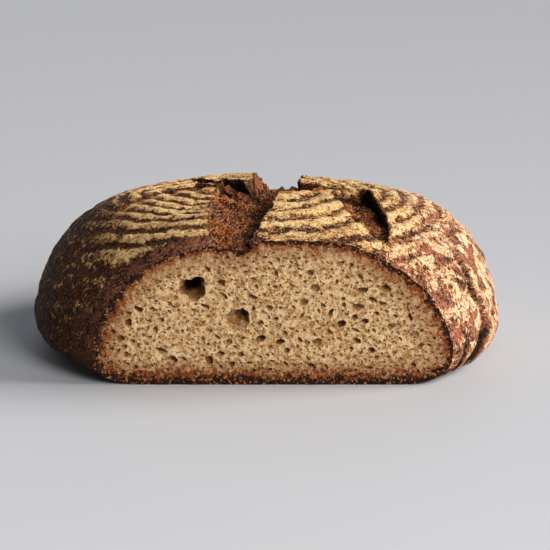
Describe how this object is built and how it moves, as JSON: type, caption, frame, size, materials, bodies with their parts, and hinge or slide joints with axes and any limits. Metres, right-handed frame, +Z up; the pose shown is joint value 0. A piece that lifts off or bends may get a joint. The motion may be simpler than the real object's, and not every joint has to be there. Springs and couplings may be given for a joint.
{
  "type": "sliced sourdough loaf",
  "caption": "Round hearth loaf of sourdough with floured basket rings and a six-armed star score, one end sliced off flat to show its open crumb; rests on a flat foot.",
  "frame": {"origin": "on the table, in the flat foot, under the middle of the round loaf", "axes": "+Z up; -Y is the outward normal of the sliced face; X runs across the loaf's widest width"},
  "size_m": [0.205, 0.1691, 0.0707],
  "materials": {
    "bread": "matte, rough crust, flour-dusted, with a beige porous crumb on the sliced face"
  },
  "bodies": {
    "root": {"sourdough_loaf": "bread"}
  },
  "joints": []
}
